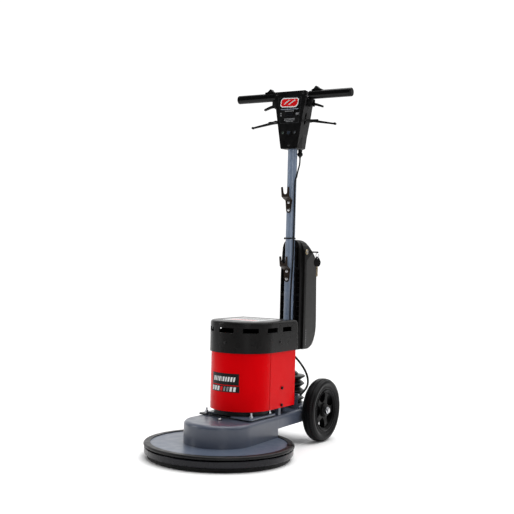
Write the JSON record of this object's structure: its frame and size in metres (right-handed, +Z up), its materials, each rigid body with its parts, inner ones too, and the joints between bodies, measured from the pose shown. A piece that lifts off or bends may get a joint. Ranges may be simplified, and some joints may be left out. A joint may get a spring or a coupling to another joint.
{
  "type": "rotary floor machine",
  "caption": "Battery rotary floor machine: round pad deck with rubber bumper, belt-driven motor under a red cover, two wheels, and a tilting handle with levers.",
  "frame": {"origin": "on the floor under the middle of the pad, on the spindle's axis", "axes": "+Z up along the spindle and the upright handle, +Y back towards the wheels and the operator, +X to the side where the battery's lock is; the round front of the deck is towards -Y"},
  "size_m": [0.454, 0.758, 1.1806],
  "materials": {
    "deck_paint": "satin slate grey paint",
    "casting_paint": "satin slate grey paint on aluminium",
    "cover_red": "gloss red powder coat",
    "panel_black": "satin black powder coat",
    "cap_plastic": "fine textured charcoal",
    "head_plastic": "fine textured black",
    "panel_plastic": "satin black",
    "lever_plastic": "satin black",
    "tube_paint": "satin blue-grey paint",
    "steel": "machined",
    "zinc": "bright zinc plate",
    "black_steel": "dark bronze coat",
    "plate_steel": "dark satin coat",
    "aluminium": "cast",
    "iron": "dark enamel",
    "copper": "enamelled windings",
    "brass": "plated lock",
    "rubber": "matt",
    "tyre": "solid rubber",
    "rim_plastic": "moulded",
    "board_plastic": "moulded",
    "pad_fibre": "coarse non-woven pad",
    "battery_plastic": "satin black",
    "battery_grey": "anodised dark grey",
    "button_plastic": "gloss"
  },
  "bodies": {
    "chassis": {"deck_plate": "deck_paint", "bumper_ring": "rubber", "gear_housing": "casting_paint", "ball_bearings": "steel", "belt_plate": "plate_steel", "motor_plate": "deck_paint", "motor_studs": "zinc", "motor_can": "iron", "stator_core": "copper", "motor_end_bell": "aluminium", "front_cover": "cover_red", "side_panels": "cover_red", "rear_panel": "panel_black", "cover_posts": "casting_paint", "cover_screws": "plate_steel", "top_cap": "cap_plastic", "controller": "aluminium", "drive_belt": "rubber", "axle": "steel", "axle_caps": "zinc", "pivot_bracket": "plate_steel", "pivot_pin": "steel", "gaiter": "rubber", "lead_gland": "zinc", "battery_lead": "rubber"},
    "drive": {"spindle": "steel", "large_pulley": "aluminium", "drive_board": "board_plastic", "floor_pad": "pad_fibre"},
    "rotor": {"rotor": "steel", "motor_pulley": "aluminium", "cooling_fan": "rim_plastic"},
    "wheel_left": {"tyre_left": "tyre", "rim_left": "rim_plastic"},
    "wheel_right": {"tyre_right": "tyre", "rim_right": "rim_plastic"},
    "handle": {"handle_foot": "casting_paint", "handle_tube": "tube_paint", "cable_hooks": "black_steel", "handle_fasteners": "zinc", "switch_cable": "rubber", "battery_cradle": "battery_plastic", "cable_gland": "lever_plastic", "head_shell": "head_plastic", "front_panel": "panel_plastic", "handlebar": "steel", "grips": "rubber", "lever_blocks": "lever_plastic"},
    "lock": {"lock_rod": "steel"},
    "release_left": {"release_lever_left": "lever_plastic"},
    "release_right": {"release_lever_right": "lever_plastic"},
    "switch_left": {"switch_lever_left": "lever_plastic"},
    "switch_right": {"switch_lever_right": "lever_plastic"},
    "thumb_left": {"thumb_button_left": "lever_plastic"},
    "thumb_right": {"thumb_button_right": "lever_plastic"},
    "speed": {"speed_button": "button_plastic"},
    "battery": {"battery_frame": "battery_plastic", "battery_shell": "battery_grey"},
    "key": {"battery_key": "brass"},
    "spare": {"spare_key": "lever_plastic"}
  },
  "joints": [
    {"name": "spindle_spin", "type": "hinge", "parent": "chassis", "child": "drive", "pos_m": [0, 0, 0.06], "axis": [0, 0, 1], "continuous": true},
    {"name": "rotor_spin", "type": "hinge", "parent": "chassis", "child": "rotor", "pos_m": [0, 0.1235, 0.15], "axis": [0, 0, 1], "continuous": true},
    {"name": "wheel_left_roll", "type": "hinge", "parent": "chassis", "child": "wheel_left", "pos_m": [-0.1225, 0.427, 0.104], "axis": [1, 0, 0], "continuous": true},
    {"name": "wheel_right_roll", "type": "hinge", "parent": "chassis", "child": "wheel_right", "pos_m": [0.1225, 0.427, 0.104], "axis": [1, 0, 0], "continuous": true},
    {"name": "handle_tilt", "type": "hinge", "parent": "chassis", "child": "handle", "pos_m": [0, 0.403, 0.156], "axis": [-1, 0, 0], "range_deg": [0, 60], "deforming": ["gaiter", "battery_lead"]},
    {"name": "release_left_squeeze", "type": "hinge", "parent": "handle", "child": "release_left", "pos_m": [-0.012, 0.4, 1.066], "axis": [0, 1, 0], "range_deg": [0, 18]},
    {"name": "release_right_squeeze", "type": "hinge", "parent": "handle", "child": "release_right", "pos_m": [0.012, 0.4, 1.066], "axis": [0, -1, 0], "range_deg": [0, 18]},
    {"name": "lock_lift", "type": "slide", "parent": "handle", "child": "lock", "axis": [0, 0, 1], "range_m": [0, 0.0058], "stiffness_N_per_m": 400, "springref_m": -0.008},
    {"name": "switch_left_squeeze", "type": "hinge", "parent": "handle", "child": "switch_left", "pos_m": [-0.066, 0.4, 1.124], "axis": [0, 1, 0], "range_deg": [0, 10], "stiffness_Nm_per_rad": 0.4, "springref_deg": -11.46},
    {"name": "switch_right_squeeze", "type": "hinge", "parent": "handle", "child": "switch_right", "pos_m": [0.066, 0.4, 1.124], "axis": [0, -1, 0], "range_deg": [0, 10], "stiffness_Nm_per_rad": 0.4, "springref_deg": -11.46},
    {"name": "thumb_left_press", "type": "slide", "parent": "handle", "child": "thumb_left", "axis": [0, 0, -1], "range_m": [0, 0.003], "stiffness_N_per_m": 400, "springref_m": -0.002},
    {"name": "thumb_right_press", "type": "slide", "parent": "handle", "child": "thumb_right", "axis": [0, 0, -1], "range_m": [0, 0.003], "stiffness_N_per_m": 400, "springref_m": -0.002},
    {"name": "speed_press", "type": "slide", "parent": "handle", "child": "speed", "axis": [0, 1, 0], "range_m": [0, 0.0015], "stiffness_N_per_m": 400, "springref_m": -0.001},
    {"name": "battery_lift", "type": "slide", "parent": "handle", "child": "battery", "axis": [0, 0, 1], "range_m": [0, 0.06]},
    {"name": "key_turn", "type": "hinge", "parent": "battery", "child": "key", "pos_m": [0.044, 0.441, 0.628], "axis": [1, 0, 0], "range_deg": [0, 90]},
    {"name": "spare_key_swing", "type": "hinge", "parent": "key", "child": "spare", "pos_m": [0.08626, 0.43785, 0.6075], "axis": [0.866, -0.5, 0], "range_deg": [-30, 30]}
  ],
  "couplings": [
    {"joint": "rotor_spin", "follows": "spindle_spin", "ratio": 2.4167},
    {"joint": "release_left_squeeze", "follows": "lock_lift", "rad_per_m": 54.054},
    {"joint": "release_right_squeeze", "follows": "lock_lift", "rad_per_m": 54.054}
  ]
}
